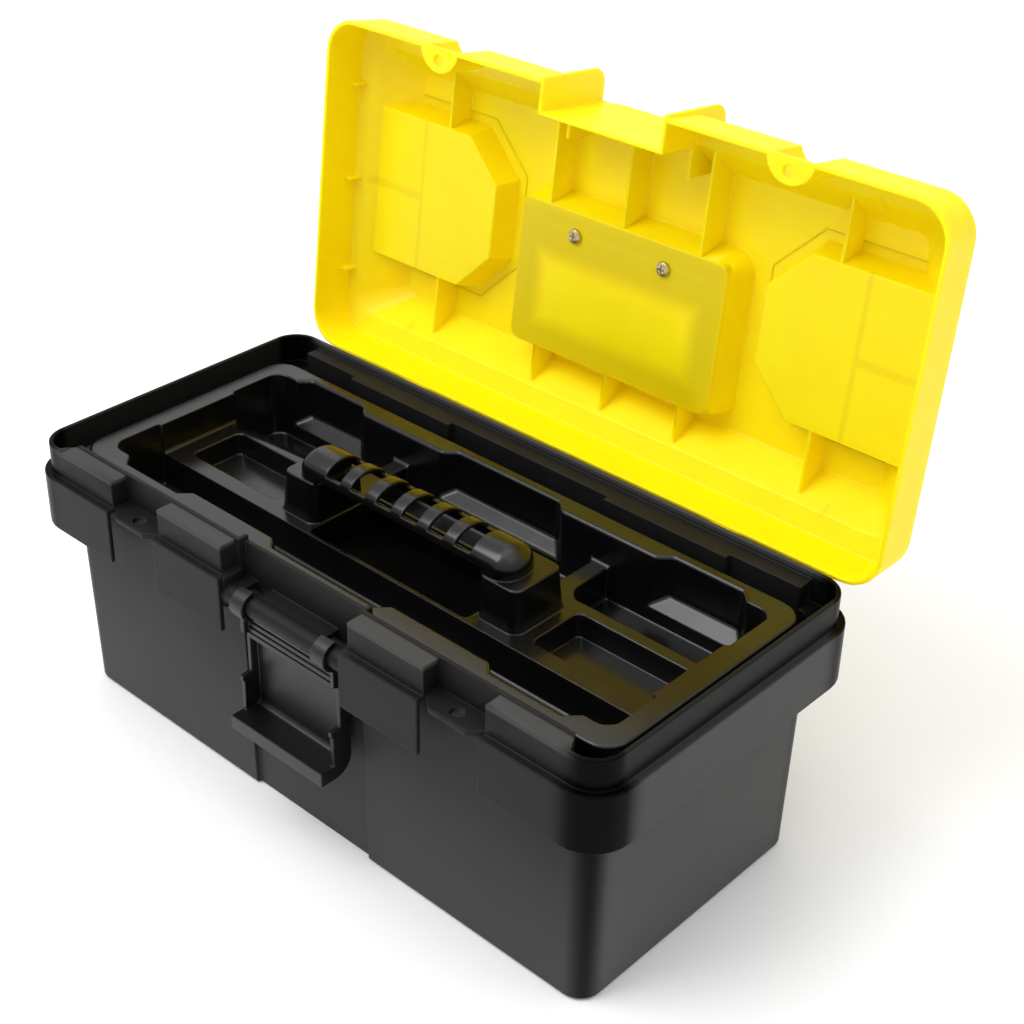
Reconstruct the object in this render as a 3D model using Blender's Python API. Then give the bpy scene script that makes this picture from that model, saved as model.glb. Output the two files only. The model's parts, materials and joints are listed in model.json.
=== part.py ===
"""Plastic toolbox with a lift-out tote tray, open on its hinge stops.

World frame in metres: +X along the box, +Y towards the hinges, +Z up, origin at the centre of the flat bottom.
The lid is modelled shut and then turned open about its hinge axis.
"""

import math

import bpy
import bmesh
from mathutils import Matrix, Vector

# ---- driving dimensions (metres) --------------------------------------------
LENGTH = 0.4000            # over the skirt, and over the lid
DEPTH = 0.1932             # over the skirt
BODY_LENGTH = LENGTH - 0.0322       # body at its bottom
BODY_DEPTH = DEPTH - 0.0318
BODY_DRAFT = 0.0020        # how far each body wall leans out by the top
RIM_LENGTH = LENGTH - 0.0082
RIM_FRONT = -DEPTH / 2 + 0.0144        # outer face of the rim's front wall
RIM_BACK = DEPTH / 2 - 0.0044
BLOCK_FRONT = -DEPTH / 2 + 0.0044      # outer face of the hollow blocks on the rim
LEDGE_TOP = 0.1372         # flat ledge between rim and skirt
SKIRT_BOTTOM = 0.1059
RIM_TOP = 0.1535
WALL = 0.0025
LEDGE = 0.0025
BODY_RADIUS = 0.0120
SKIRT_RADIUS = 0.0215
RIM_RADIUS = 0.0160
GAP = 0.0003               # between parts that lie against each other

LATCH_BAY = 0.0425         # half width of the recess behind the latch
BAY_FRONT = RIM_FRONT + 0.0042        # face of that recess
BAY_RIM_DROP = 0.0025      # the rim is this much lower in the bay
INNER_BLOCK = (0.0448, 0.0941)
OUTER_BLOCK = (0.1312, 0.1752)
BLOCK_DROP = 0.0005        # the blocks' tops lie this much below the rim
BLOCK_SLANT = 0.0060
EYE_BAY = (0.0941, 0.1312)
EYE_RADIUS = 0.0035
EYE_Y = BLOCK_FRONT + 0.0027
SHELF_TOP = 0.1495         # box section along the inside of the rear rim
SHELF_FRONT = RIM_BACK - 0.0122
SHELF_STEP_FRONT = RIM_BACK - 0.0158
SHELF_STEP = (0.0550, 0.1330)
SHELF_END = RIM_LENGTH / 2 - 0.0219

HINGE_Y = DEPTH / 2 + 0.0068
HINGE_Z = 0.1357
HINGE_X = 0.1100
HINGE_PIN_RADIUS = 0.0018
KNUCKLE_RADIUS = 0.0060
KNUCKLE_WIDTH = 0.0085
LID_KNUCKLE_WIDTH = 0.0180
LID_OPEN = math.radians(96.64)

LID_WALL = 0.0022
LID_LENGTH = LENGTH - 0.0014
LID_SIDE = 0.0270          # height of the lid's side walls
SHOULDER = 0.0305          # height where the crown begins
CROWN = 0.0502             # height of the crown
CROWN_FOOT = (LID_LENGTH / 2 - 0.0103, -DEPTH / 2 + 0.0141, DEPTH / 2 - 0.0131)
CROWN_TOP = (LID_LENGTH / 2 - 0.0308, -DEPTH / 2 + 0.0291, DEPTH / 2 - 0.0261)
LID_RADIUS = 0.0200
LID_LEAN = 0.0013
NOTCH = 0.0384             # half width of the latch notch
NOTCH_FACE = -DEPTH / 2 + 0.0161
CATCH = (0.0300, 0.0027, 0.0026)   # ridge on the crown that the latch hooks over: half length, width, height
CHEEK_FRONT = -DEPTH / 2 - 0.0016
CHEEK_RADIUS = 0.0090
WELL_FLOOR = 0.0297        # inner face of the handle well
WELL = (0.0690, -0.0240, 0.0580)
WELL_DRAFT = 0.0050
BIN_FLOOR = 0.0318
BIN_INNER = 0.0915
BIN_SPAN = (-0.0445, 0.0435)
BIN_CORNER = 0.0230
BIN_DRAFT = 0.0040
DIVIDER = 0.0015
RIB = 0.0018
RIB_X = 0.0505
BIN_RIB_X = 0.1300

LATCH_Y = BAY_FRONT - 0.0115
LATCH_Z = 0.1264
LATCH_BAR_RADIUS = 0.0055
LATCH_WALL = 0.0024
LATCH_HALF = 0.0335
LATCH_KNUCKLE = (0.0245, 0.0335)
LATCH_REACH = 0.0643       # bar to the face that hooks over the lid
LATCH_LIP = (LATCH_Y - 0.0120, 0.0080)
LATCH_BLOCK = (LATCH_Y + 0.0013, 0.1040, 0.1180)   # front face, bottom and top of its ribbed block
LATCH_RIBS = 4
HEEL_RADIUS = 0.0110
CLEAR = 0.0004             # running clearance

TRAY_TOP = 0.1450
TRAY_BOTTOM = 0.1070
TRAY_WALL = 0.0020
TRAY_FLANGE = (RIM_LENGTH / 2 - 0.0099, RIM_FRONT + 0.0087, RIM_BACK - 0.0207)
TRAY_OPENING = (TRAY_FLANGE[0] - 0.0115, TRAY_FLANGE[1] + 0.0135, TRAY_FLANGE[2] - 0.0130)
TRAY_DRAFT = 0.0036
TRAY_BUMP_DEPTH = 0.0060
TRAY_BUMPS = ((-0.0360, 0.0360), (0.1105, 0.1525), (-0.1525, -0.1105))
BUMP_SLANT = 0.0060
BUMP_FLOOR = (0.1180, 0.1220)
RIDGE = (-0.0280, 0.0235)
RIDGE_TOP = 0.1270
POCKET = (0.0915, 0.1610, -0.0178, 0.0165)
POCKET_FLOOR = 0.1150
BRIDGE = (0.0660, 0.0770, 0.0120)
GRIP_Y = -0.0050
GRIP_HALF = 0.0130
GRIP_TOP = 0.1642
GRIP_UNDER = 0.1555
PILLAR = (0.0570, 0.0845, -0.0210, 0.0165)
PILLAR_TOP = 0.1502
GRIP_END = 0.0755
GRIP_DOME = 0.0100         # length of the grip's rounded ends
FINGER_WELL = (0.0563, 0.0024, 0.0030)   # half length, wall to the ridge's faces, corner radius
SLOT_PITCH = 0.0182
SLOT_WIDTH = 0.0105
SLOTS = 6

HANDLE_AXIS_Y = -0.0113
HANDLE_AXIS = 0.0385       # height above the lid's rim plane
HANDLE_ARM = (0.0525, 0.0635)
HANDLE_GRIP = (0.0340, 0.0545)
HANDLE_THICK = (0.0323, 0.0455)
BRACKET = (0.0500, -0.0205, -0.0025, 0.0322, 0.0440)
AXLE_RADIUS = 0.0032
AXLE_LENGTH = 0.0080
SCREW_X = 0.0300
SCREW_HEAD = (0.0042, 0.0023)
SCREW_SHANK = 0.0017
COVER_WALL = 0.0018
COVER_HINGE = (0.0528, 0.0550)
COVER_PIN = 0.0015

LID_BASE = LEDGE_TOP + GAP
HALF = LENGTH / 2
LID_HALF = LID_LENGTH / 2


# ---- modelling helpers --------------------------------------------------------
def clear_scene():
    for item in list(bpy.data.objects):
        bpy.data.objects.remove(item, do_unlink=True)


def material(name, colour, roughness, metallic=0.0, alpha=1.0):
    found = bpy.data.materials.get(name)
    if found:
        return found
    made = bpy.data.materials.new(name)
    made.use_nodes = True
    shader = made.node_tree.nodes["Principled BSDF"]
    shader.inputs["Base Color"].default_value = (*colour, 1.0)
    shader.inputs["Roughness"].default_value = roughness
    shader.inputs["Metallic"].default_value = metallic
    shader.inputs["Alpha"].default_value = alpha
    return made


def new_object(name, bm):
    bmesh.ops.recalc_face_normals(bm, faces=bm.faces)
    mesh = bpy.data.meshes.new(name)
    bm.to_mesh(mesh)
    bm.free()
    made = bpy.data.objects.new(name, mesh)
    bpy.context.scene.collection.objects.link(made)
    return made


def arc(centre_x, centre_y, radius, start, stop, steps):
    return [(centre_x + radius * math.cos(start + (stop - start) * i / steps),
             centre_y + radius * math.sin(start + (stop - start) * i / steps)) for i in range(steps + 1)]


def rounded(x0, x1, y0, y1, radius, steps=5):
    """A rectangle with round corners, counterclockwise."""
    points = []
    corners = ((x1, y0, -0.5), (x1, y1, 0.0), (x0, y1, 0.5), (x0, y0, 1.0))
    for x, y, turn in corners:
        cx = x - math.copysign(radius, x - (x0 + x1) / 2)
        cy = y - math.copysign(radius, y - (y0 + y1) / 2)
        points += arc(cx, cy, radius, turn * math.pi, (turn + 0.5) * math.pi, steps)
    return points


def loft(name, levels):
    """A closed solid through outlines with the same number of points, each with its height."""
    bm = bmesh.new()
    rings = [[bm.verts.new((x, y, z)) for x, y in outline] for outline, z in levels]
    for low, high in zip(rings, rings[1:]):
        for i in range(len(low)):
            j = (i + 1) % len(low)
            bm.faces.new((low[i], low[j], high[j], high[i]))
    bm.faces.new(list(reversed(rings[0])))
    bm.faces.new(rings[-1])
    return new_object(name, bm)


def prism(name, outline, z0, z1):
    return loft(name, ((outline, z0), (outline, z1)))


def box(name, x0, x1, y0, y1, z0, z1):
    return prism(name, [(x0, y0), (x1, y0), (x1, y1), (x0, y1)], z0, z1)


def side_prism(name, outline, x0, x1):
    """An outline in (y, z) pushed along X."""
    made = prism(name, outline, x0, x1)
    made.data.transform(Matrix(((0, 0, 1, 0), (1, 0, 0, 0), (0, 1, 0, 0), (0, 0, 0, 1))))
    return made


def rod(name, y, z, radius, x0, x1, steps=16):
    return side_prism(name, arc(y, z, radius, 0, 2 * math.pi, steps)[:-1], x0, x1)


def post(name, x, y, radius, z0, z1, steps=16):
    return prism(name, arc(x, y, radius, 0, 2 * math.pi, steps)[:-1], z0, z1)


def combine(target, tools, operation):
    """Applies a Boolean of each tool to the target and removes the tools."""
    for tool in tools:
        modifier = target.modifiers.new("shape", "BOOLEAN")
        modifier.operation = operation
        modifier.object = tool
        modifier.solver = "EXACT"
        graph = bpy.context.evaluated_depsgraph_get()
        mesh = bpy.data.meshes.new_from_object(target.evaluated_get(graph))
        target.modifiers.clear()
        target.data = mesh
        bpy.data.objects.remove(tool, do_unlink=True)
    return target


def cut(target, *tools):
    return combine(target, tools, "DIFFERENCE")


def join(target, *tools):
    return combine(target, tools, "UNION")


def keep(target, *tools):
    return combine(target, tools, "INTERSECT")


def finish(item, name, look, pivot=(0, 0, 0)):
    """Names the piece, cleans its mesh and puts its origin on its pivot."""
    bm = bmesh.new()
    bm.from_mesh(item.data)
    bmesh.ops.remove_doubles(bm, verts=bm.verts, dist=0.00001)
    bmesh.ops.dissolve_limit(bm, angle_limit=0.002, verts=bm.verts, edges=bm.edges)
    bmesh.ops.triangulate(bm, faces=bm.faces)
    bm.to_mesh(item.data)
    bm.free()
    item.data.transform(Matrix.Translation(-Vector(pivot)))
    item.location = pivot
    item.name = name
    item.data.name = name
    item.data.materials.clear()
    item.data.materials.append(look)
    item.data.shade_smooth()
    item.data.set_sharp_from_angle(angle=math.radians(25))
    return item


# ---- tub ------------------------------------------------------------------------
def body_outline(grow, z):
    share = min(max(z / LEDGE_TOP, 0.0), 1.0)
    x = BODY_LENGTH / 2 + BODY_DRAFT * share + grow
    y = BODY_DEPTH / 2 + BODY_DRAFT * share + grow
    return rounded(-x, x, -y, y, BODY_RADIUS + grow, 7)


def skirt_outline(grow):
    return rounded(-HALF - grow, HALF + grow, -DEPTH / 2 - grow, DEPTH / 2 + grow, SKIRT_RADIUS + grow, 8)


def rim_outline(grow):
    """The rim's outer line, whose front corners run on into the faces of the outer blocks."""
    x = RIM_LENGTH / 2 + grow
    return rounded(-x, x, BLOCK_FRONT - grow, RIM_BACK + grow, RIM_RADIUS + grow, 8)


def rim_fill(reach):
    """What the rim's straight front wall and the slanted ends of the outer blocks keep out of its mouth."""
    back = RIM_FRONT + WALL
    return [(-reach, -HALF), (reach, -HALF), (reach, BLOCK_FRONT + WALL), (reach - BLOCK_SLANT, back),
            (-reach + BLOCK_SLANT, back), (-reach, BLOCK_FRONT + WALL)]


def tub_shell():
    foot = 0.0015
    tub = loft("tub", ((body_outline(-foot, 0), 0), (body_outline(0, foot), foot),
                       (body_outline(0, LEDGE_TOP), LEDGE_TOP)))
    collar = prism("collar", skirt_outline(0), SKIRT_BOTTOM, LEDGE_TOP)
    cut(collar, prism("under", skirt_outline(-WALL), SKIRT_BOTTOM - WALL, LEDGE_TOP - LEDGE))
    for side in (-1, 1):
        x0, x1 = sorted((side * EYE_BAY[0], side * EYE_BAY[1]))
        cut(collar, box("eye bay", x0, x1, -HALF, BAY_FRONT + 0.01, SKIRT_BOTTOM - WALL, RIM_TOP))
    bay = LATCH_BAY - 0.0010
    cut(collar, box("latch bay", -bay, bay, -HALF, BAY_FRONT + 0.01, SKIRT_BOTTOM - WALL, RIM_TOP))
    join(tub, collar)
    rim = prism("rim", rim_outline(0), LEDGE_TOP - LEDGE, RIM_TOP)
    gaps = [(-INNER_BLOCK[0], INNER_BLOCK[0]), EYE_BAY, (-EYE_BAY[1], -EYE_BAY[0])]
    for x0, x1 in gaps:
        cut(rim, box("gap", x0, x1, -HALF, RIM_FRONT, LEDGE_TOP - WALL, RIM_TOP + WALL))
    for side in (-1, 1):
        for near, far in (INNER_BLOCK, OUTER_BLOCK):
            x0, x1 = sorted((side * (near - WALL), side * far))
            cut(rim, box("block top", x0, x1, -HALF, RIM_FRONT, RIM_TOP - BLOCK_DROP, RIM_TOP + WALL))
    join(tub, rim)
    cut(tub, box("bay", -LATCH_BAY, LATCH_BAY, -HALF, BAY_FRONT, -WALL, RIM_TOP + WALL))
    cut(tub, box("bay rim", -LATCH_BAY, LATCH_BAY, -HALF, BAY_FRONT + 2 * WALL,
                 RIM_TOP - BAY_RIM_DROP, RIM_TOP + WALL))
    return tub


def tub_hollow():
    inside = loft("inside", ((body_outline(-WALL - 0.0015, 0), WALL), (body_outline(-WALL, WALL), WALL + 0.0015),
                             (body_outline(-WALL, LEDGE_TOP), LEDGE_TOP + WALL)))
    mouth = prism("mouth", rim_outline(-WALL), LEDGE_TOP, RIM_TOP + WALL)
    cut(mouth, prism("fill", rim_fill(OUTER_BLOCK[1] + WALL), LEDGE_TOP - WALL, RIM_TOP + 2 * WALL))
    join(inside, mouth)
    cut(inside, box("bay wall", -LATCH_BAY - WALL, LATCH_BAY + WALL, -HALF, BAY_FRONT + WALL,
                    -WALL, RIM_TOP + 2 * WALL))
    return inside


def shelf(tub):
    """The box section inside the rear rim, open from below, with two deeper steps."""
    low = LEDGE_TOP - LEDGE
    back = RIM_BACK - WALL / 2
    join(tub, box("shelf", -SHELF_END, SHELF_END, SHELF_FRONT, back, low, SHELF_TOP))
    for side in (-1, 1):
        x0, x1 = sorted((side * SHELF_STEP[0], side * SHELF_STEP[1]))
        join(tub, box("shelf step", x0, x1, SHELF_STEP_FRONT, SHELF_FRONT + WALL, low, SHELF_TOP))
    top = SHELF_TOP - WALL
    cut(tub, box("shelf hollow", -SHELF_END + WALL, SHELF_END - WALL, SHELF_FRONT + 1.4 * WALL,
                 RIM_BACK - 1.2 * WALL, low - WALL, top))


def block_hollows(tub):
    for side in (-1, 1):
        for near, far in (INNER_BLOCK, OUTER_BLOCK):
            x0, x1 = sorted((side * (near + WALL), side * (far - WALL)))
            cut(tub, box("block hollow", x0, x1, BLOCK_FRONT + WALL, RIM_FRONT - 0.0006,
                         LEDGE_TOP - 2 * LEDGE, RIM_TOP - WALL))


def padlock_tabs(tub):
    """A flat tab with an eye in each gap of the skirt."""
    for side in (-1, 1):
        x0, x1 = sorted((side * (EYE_BAY[0] - WALL), side * (EYE_BAY[1] + WALL)))
        front = -DEPTH / 2
        corner = 0.0075
        outline = [(x0, RIM_FRONT + WALL / 2), (x0, front + corner), (x0 + corner + WALL, front),
                   (x1 - corner - WALL, front), (x1, front + corner), (x1, RIM_FRONT + WALL / 2)]
        join(tub, prism("tab", outline, LEDGE_TOP - 0.0030, LEDGE_TOP))
        middle = side * (EYE_BAY[0] + EYE_BAY[1]) / 2
        cut(tub, post("eye", middle, EYE_Y, EYE_RADIUS, LEDGE_TOP - 0.006, LEDGE_TOP + WALL))


def latch_bar(tub):
    """The moulded bar that the latch clips round, carried by a web between and beside its knuckles."""
    reach = LATCH_BAY + 0.0005
    join(tub, rod("bar", LATCH_Y, LATCH_Z, LATCH_BAR_RADIUS, -reach, reach))
    inner, outer = LATCH_KNUCKLE
    web = ((-inner + 0.0008, inner - 0.0008), (outer + 0.0008, reach), (-reach, -outer - 0.0008))
    for x0, x1 in web:
        join(tub, box("web", x0, x1, LATCH_Y, BAY_FRONT + WALL / 2, LATCH_Z - 0.0040,
                      LATCH_Z + LATCH_BAR_RADIUS - 0.0006))
    for side in (-1, 1):
        x0, x1 = sorted((side * (LATCH_BAY - 0.0010), side * (LATCH_BAY + 0.0012)))
        join(tub, box("cheek", x0, x1, LATCH_Y - 0.0040, RIM_FRONT + WALL / 2,
                      LATCH_Z - 0.0070, LEDGE_TOP - 0.0004))


def tub_hinges(tub):
    """Two pairs of knuckles on the back of the skirt, with a lug under the open lid beside each pair."""
    offset = LID_KNUCKLE_WIDTH / 2 + 0.0005
    back = DEPTH / 2 - WALL / 2
    for side in (-1, 1):
        for inner in (side * HINGE_X - offset - KNUCKLE_WIDTH, side * HINGE_X + offset):
            join(tub, box("arm", inner, inner + KNUCKLE_WIDTH, back, HINGE_Y,
                          HINGE_Z - KNUCKLE_RADIUS, HINGE_Z - 0.0008))
            join(tub, rod("knuckle", HINGE_Y, HINGE_Z, KNUCKLE_RADIUS, inner, inner + KNUCKLE_WIDTH))
        cut(tub, rod("bore", HINGE_Y, HINGE_Z, HINGE_PIN_RADIUS + GAP, side * HINGE_X - 0.03, side * HINGE_X + 0.03))
        x0, x1 = sorted((side * (HINGE_X + 0.0240), side * (HINGE_X + 0.0280)))
        rear, front = HINGE_Y + 0.0091, HINGE_Y - 0.0049
        lug = [(back, HINGE_Z - 0.0160), (HINGE_Y, HINGE_Z - 0.0120), (rear, HINGE_Z - 0.0010), (rear, 0.1412),
               (front + 0.0025, 0.1412), (front, 0.1380), (front, HINGE_Z), (back, HINGE_Z)]
        join(tub, side_prism("lug", lug, x0, x1))


def make_tub(look):
    tub = tub_shell()
    cut(tub, tub_hollow())
    shelf(tub)
    block_hollows(tub)
    padlock_tabs(tub)
    latch_bar(tub)
    tub_hinges(tub)
    return finish(tub, "tub", look)


# ---- lid --------------------------------------------------------------------------
def lid_outline(x, y0, y1, grow, radius):
    return rounded(-x - grow, x + grow, y0 - grow, y1 + grow, radius, 8)


def lid_solid(name, grow, low, high):
    """The lid's outer form, grown outwards; low and high move its open edge and its crown."""
    front, back = -DEPTH / 2, DEPTH / 2 - 0.0001
    levels = [
        (lid_outline(LID_HALF, front, back, grow, LID_RADIUS + grow), LID_BASE + low),
        (lid_outline(LID_HALF - LID_LEAN, front + LID_LEAN, back - LID_LEAN, grow, LID_RADIUS + grow),
         LID_BASE + LID_SIDE + high),
        (lid_outline(*CROWN_FOOT, grow, LID_RADIUS - 0.006 + grow), LID_BASE + SHOULDER + high),
        (lid_outline(*CROWN_TOP, grow, LID_RADIUS - 0.010 + grow), LID_BASE + CROWN + high)]
    return loft(name, levels)


def bin_outline(side, grow, far):
    """Half an octagon: a rectangle with its two inner corners cut."""
    inner = BIN_INNER - grow
    y0, y1 = BIN_SPAN[0] - grow, BIN_SPAN[1] + grow
    corner = BIN_CORNER + grow * 0.4
    points = [(inner + corner, y0), (far, y0), (far, y1), (inner + corner, y1), (inner, y1 - corner),
              (inner, y0 + corner)]
    if side < 0:
        points = [(-x, y) for x, y in reversed(points)]
    return points


def add_bins(lid):
    """Small-parts bins sunk into the crown from outside, each with two dividers."""
    floor = LID_BASE + BIN_FLOOR
    top = LID_BASE + CROWN
    far = LID_HALF - LID_LEAN - LID_WALL / 2
    for side in (-1, 1):
        well = loft("bin", ((bin_outline(side, 0, far), floor), (bin_outline(side, BIN_DRAFT, far), top)))
        keep(well, lid_solid("trim", 0, -0.001, 0))
        join(lid, well)
        inside = loft("bin inside", ((bin_outline(side, -LID_WALL, LID_HALF), floor + LID_WALL),
                                     (bin_outline(side, BIN_DRAFT - LID_WALL + 0.0008, LID_HALF), top + 0.004)))
        middle = side * 0.1475
        wall_y = -0.0010
        slab = box("divider", middle - DIVIDER / 2, middle + DIVIDER / 2, BIN_SPAN[0] - 0.01, BIN_SPAN[1] + 0.01,
                   floor, floor + 0.0130)
        x0, x1 = sorted((middle, side * LID_HALF))
        cross = box("divider", x0, x1, wall_y - DIVIDER / 2, wall_y + DIVIDER / 2, floor, floor + 0.0130)
        cross = keep(cross, lid_solid("trim", -LID_WALL, -0.001, -LID_WALL))
        cut(inside, slab, cross)
        cut(lid, inside)


def add_well(lid):
    """The well that the carry handle folds into, with two screw holes."""
    half, y0, y1 = WELL
    floor = LID_BASE + WELL_FLOOR
    top = LID_BASE + CROWN
    radius = 0.0060
    grow = WELL_DRAFT

    def ring(extra):
        return rounded(-half - extra, half + extra, y0 - extra, y1 + extra, radius + extra)

    join(lid, loft("well", ((ring(0), floor), (ring(grow), top - 0.0002))))
    cut(lid, loft("well inside", ((ring(-LID_WALL), floor + LID_WALL), (ring(grow - LID_WALL + 0.0008), top + 0.004))))
    for side in (-1, 1):
        cut(lid, post("screw hole", side * SCREW_X, HANDLE_AXIS_Y, SCREW_SHANK + GAP, floor - 0.01, floor + 0.01))


def cheek_outline(y0, y1, z0, z1):
    return [(y0, z0), (y1, z0), (y1, z1)] + arc(y0 + CHEEK_RADIUS, z1 - CHEEK_RADIUS, CHEEK_RADIUS,
                                                  math.pi / 2, math.pi, 5)


def add_latch_notch(lid):
    """The notch that the latch closes into, between two cheeks that stand up to the crown."""
    side = NOTCH + LID_WALL
    low, top = LID_BASE, LID_BASE + CROWN
    rear = NOTCH_FACE + LID_WALL
    notch = box("notch", -NOTCH, NOTCH, -HALF, NOTCH_FACE, low - 0.01, top + 0.01)
    hollow = box("hollow", -NOTCH, NOTCH, rear, CROWN_TOP[1] + 0.009, LID_BASE + 0.010, top - LID_WALL)
    front = side_prism("cheeks", cheek_outline(CHEEK_FRONT, rear, low, top), -side, side)
    behind = box("behind", -side, side, NOTCH_FACE, CROWN_TOP[1] + 0.005, LID_BASE + LID_SIDE - 0.002, top)
    join(front, behind)
    for tool in (notch, hollow):
        copy = tool.copy()
        copy.data = tool.data.copy()
        bpy.context.scene.collection.objects.link(copy)
        cut(lid, tool)
        cut(front, copy)
    join(lid, front)
    join(lid, box("catch", -CATCH[0], CATCH[0], NOTCH_FACE, NOTCH_FACE + CATCH[1], top - 0.001, top + CATCH[2]))


def add_padlock_recesses(lid):
    """A half-round recess in the front wall over each eye, with its own eye in its floor."""
    for side in (-1, 1):
        x = side * (EYE_BAY[0] + EYE_BAY[1]) / 2
        y = -DEPTH / 2 - 0.0001
        outer = post("recess", x, y, 0.0138, LID_BASE, LID_BASE + 0.034, 24)
        keep(outer, lid_solid("trim", 0, -0.001, 0))
        join(lid, outer)
        cut(lid, post("recess inside", x, y, 0.0138 - LID_WALL, LID_BASE + 0.003, LID_BASE + 0.06, 24))
        cut(lid, post("eye", x, EYE_Y, EYE_RADIUS, LID_BASE - 0.01, LID_BASE + 0.01))


def add_ribs(lid):
    """Stiffening ribs across the crown, kept inside the shell."""
    half, y0, y1 = WELL
    edge = LID_BASE + WELL_FLOOR + 0.0003
    top = LID_BASE + CROWN - LID_WALL / 2
    spans = []
    for x in (-RIB_X, 0, RIB_X):
        front = NOTCH_FACE + LID_WALL / 2 if x == 0 else -DEPTH / 2
        spans += [(x, front, y0 + 0.001), (x, y1 - 0.001, DEPTH / 2)]
    for x in (-BIN_RIB_X, BIN_RIB_X):
        spans += [(x, -DEPTH / 2, BIN_SPAN[0] + 0.001), (x, BIN_SPAN[1] - 0.001, DEPTH / 2)]
    for x, front, back in spans:
        low = edge + (BIN_FLOOR - WELL_FLOOR if abs(x) > RIB_X else 0)
        rib = box("rib", x - RIB / 2, x + RIB / 2, front, back, low, top)
        keep(rib, lid_solid("trim", -LID_WALL / 2, -0.001, -LID_WALL / 2))
        join(lid, rib)
    for side in (-1, 1):
        for y in (-0.0560, -0.0005, 0.0555):
            foot = LID_BASE + 0.0175
            wall = side * (LID_HALF - LID_WALL / 2)
            x0, x1 = sorted((wall, side * (LID_HALF - 0.0075)))
            gusset = box("gusset", x0, x1, y - RIB / 2, y + RIB / 2, foot, LID_BASE + SHOULDER - 0.001)
            keep(gusset, lid_solid("trim", -LID_WALL / 2, -0.001, -LID_WALL / 2))
            join(lid, gusset)


def lid_hinges(lid):
    back = DEPTH / 2 - LID_WALL / 2
    for side in (-1, 1):
        x0 = side * HINGE_X - LID_KNUCKLE_WIDTH / 2
        x1 = x0 + LID_KNUCKLE_WIDTH
        arm = [(back, LID_BASE + 0.0006), (HINGE_Y - 0.0040, LID_BASE + 0.0006), (HINGE_Y, HINGE_Z),
               (HINGE_Y + 0.0036, HINGE_Z + 0.0047), (HINGE_Y - 0.0012, HINGE_Z + 0.0058), (back, LID_BASE + 0.0130)]
        join(lid, side_prism("arm", arm, x0, x1))
        join(lid, rod("knuckle", HINGE_Y, HINGE_Z, KNUCKLE_RADIUS, x0, x1))
        cut(lid, rod("bore", HINGE_Y, HINGE_Z, HINGE_PIN_RADIUS + GAP, x0 - 0.01, x1 + 0.01))


def cover_hinge_y():
    return COVER_HINGE[0]


def cover_hinge_z():
    return LID_BASE + COVER_HINGE[1]


def cover_spans(side):
    """X ranges of the two small lugs of a cover, and of the lid lug between them."""
    centre = side * 0.1420
    return [(centre - 0.0160, centre - 0.0090), (centre + 0.0090, centre + 0.0160)], (centre - 0.0085, centre + 0.0085)


def add_cover_lugs(lid):
    """One lug on the crown behind each bin, bored for the cover's stub pins."""
    y, z = cover_hinge_y(), cover_hinge_z()
    radius = 0.0030
    for side in (-1, 1):
        x0, x1 = cover_spans(side)[1]
        foot = LID_BASE + CROWN - LID_WALL / 2
        join(lid, box("lug", x0, x1, y - 0.0020, y + radius, foot, z))
        join(lid, rod("lug", y, z, radius, x0, x1))
        cut(lid, rod("lug bore", y, z, COVER_PIN + GAP, x0 - 0.001, x1 + 0.001))


def make_lid(look):
    lid = lid_solid("lid", 0, 0, 0)
    cut(lid, lid_solid("inside", -LID_WALL, -0.004, -LID_WALL))
    add_latch_notch(lid)
    add_ribs(lid)
    add_bins(lid)
    add_well(lid)
    add_padlock_recesses(lid)
    lid_hinges(lid)
    add_cover_lugs(lid)
    return lid


# ---- pieces on the lid ---------------------------------------------------------------
def make_carry_handle():
    z0, z1 = LID_BASE + HANDLE_THICK[0], LID_BASE + HANDLE_THICK[1]
    near, far = HANDLE_ARM
    axis_z = LID_BASE + HANDLE_AXIS
    handle = prism("grip", rounded(-far, far, HANDLE_GRIP[0], HANDLE_GRIP[1], 0.0070), z0, z1)
    reach = 0.0060
    for side in (-1, 1):
        x0, x1 = sorted((side * near, side * far))
        join(handle, box("arm", x0, x1, HANDLE_AXIS_Y, HANDLE_GRIP[1] - 0.0080, z0 + 0.0002, z1 - 0.0010))
        join(handle, rod("boss", HANDLE_AXIS_Y, axis_z, reach - 0.0002, x0, x1))
        p0, p1 = sorted((side * (near + 0.001), side * (BRACKET[0] - AXLE_LENGTH)))
        join(handle, rod("axle", HANDLE_AXIS_Y, axis_z, AXLE_RADIUS, p0, p1))
    return handle


def make_bracket():
    half, y0, y1, low, high = BRACKET
    bracket = prism("bracket", rounded(-half, half, y0, y1, 0.0030), LID_BASE + low, LID_BASE + high)
    axis_z = LID_BASE + HANDLE_AXIS
    for side in (-1, 1):
        p0, p1 = sorted((side * (half + 0.001), side * (half - AXLE_LENGTH - GAP)))
        cut(bracket, rod("socket", HANDLE_AXIS_Y, axis_z, AXLE_RADIUS + GAP, p0, p1))
        cut(bracket, post("pilot", side * SCREW_X, HANDLE_AXIS_Y, SCREW_SHANK + GAP,
                          LID_BASE + low - 0.001, LID_BASE + low + 0.0085))
    return bracket


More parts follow.
